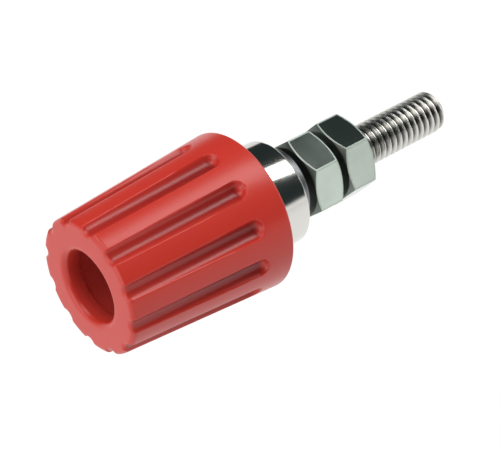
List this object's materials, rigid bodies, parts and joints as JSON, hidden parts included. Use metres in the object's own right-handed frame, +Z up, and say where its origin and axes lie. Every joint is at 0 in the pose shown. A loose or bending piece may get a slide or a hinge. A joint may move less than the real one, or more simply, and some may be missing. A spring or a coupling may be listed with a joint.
{
  "type": "binding post",
  "caption": "Panel-mount binding post: fluted red screw knob with a plug socket on a nickel-plated metal post, with lock washer and hexagon nuts on a threaded stud.",
  "frame": {"origin": "centre of the collar's rear face, which seats on the panel", "axes": "front-panel orientation: +Y into the panel along the stud, -Y out of the knob, +Z up, X along the wire hole"},
  "size_m": [0.0148, 0.0408, 0.0148],
  "materials": {
    "knob_plastic": "glossy moulded red",
    "nickel_plate": "bright nickel plate over turned brass",
    "nut_plate": "satin nickel plate over brass",
    "insert_brass": "turned, unplated",
    "washer_steel": "dull spring steel"
  },
  "bodies": {
    "post": {"post_stud": "nickel_plate", "post_collar": "nickel_plate", "post_tube": "nickel_plate"},
    "bush": {"knob_insert": "insert_brass"},
    "knob": {"knob_cap": "knob_plastic"},
    "washer": {"lock_washer": "washer_steel"},
    "inner_nut": {"mounting_nut": "nut_plate"},
    "outer_nut": {"connection_nut": "nut_plate"}
  },
  "joints": [
    {"name": "knob_travel", "type": "slide", "parent": "post", "child": "bush", "axis": [0, -1, 0], "range_m": [0, 0.004]},
    {"name": "knob_turn", "type": "hinge", "parent": "bush", "child": "knob", "pos_m": [0, -0.012, 0], "axis": [0, -1, 0], "range_deg": [0, 1440]},
    {"name": "washer_travel", "type": "slide", "parent": "post", "child": "washer", "axis": [0, 1, 0], "range_m": [0, 0.0098]},
    {"name": "mounting_nut_turn", "type": "hinge", "parent": "washer", "child": "inner_nut", "pos_m": [0, 0.00365, 0], "axis": [0, 1, 0], "range_deg": [0, 5040]},
    {"name": "connection_nut_travel", "type": "slide", "parent": "washer", "child": "outer_nut", "axis": [0, 1, 0], "range_m": [0, 0.0142]}
  ],
  "couplings": [
    {"joint": "knob_turn", "follows": "knob_travel", "rad_per_m": 6283.2},
    {"joint": "mounting_nut_turn", "follows": "washer_travel", "rad_per_m": 8976}
  ]
}
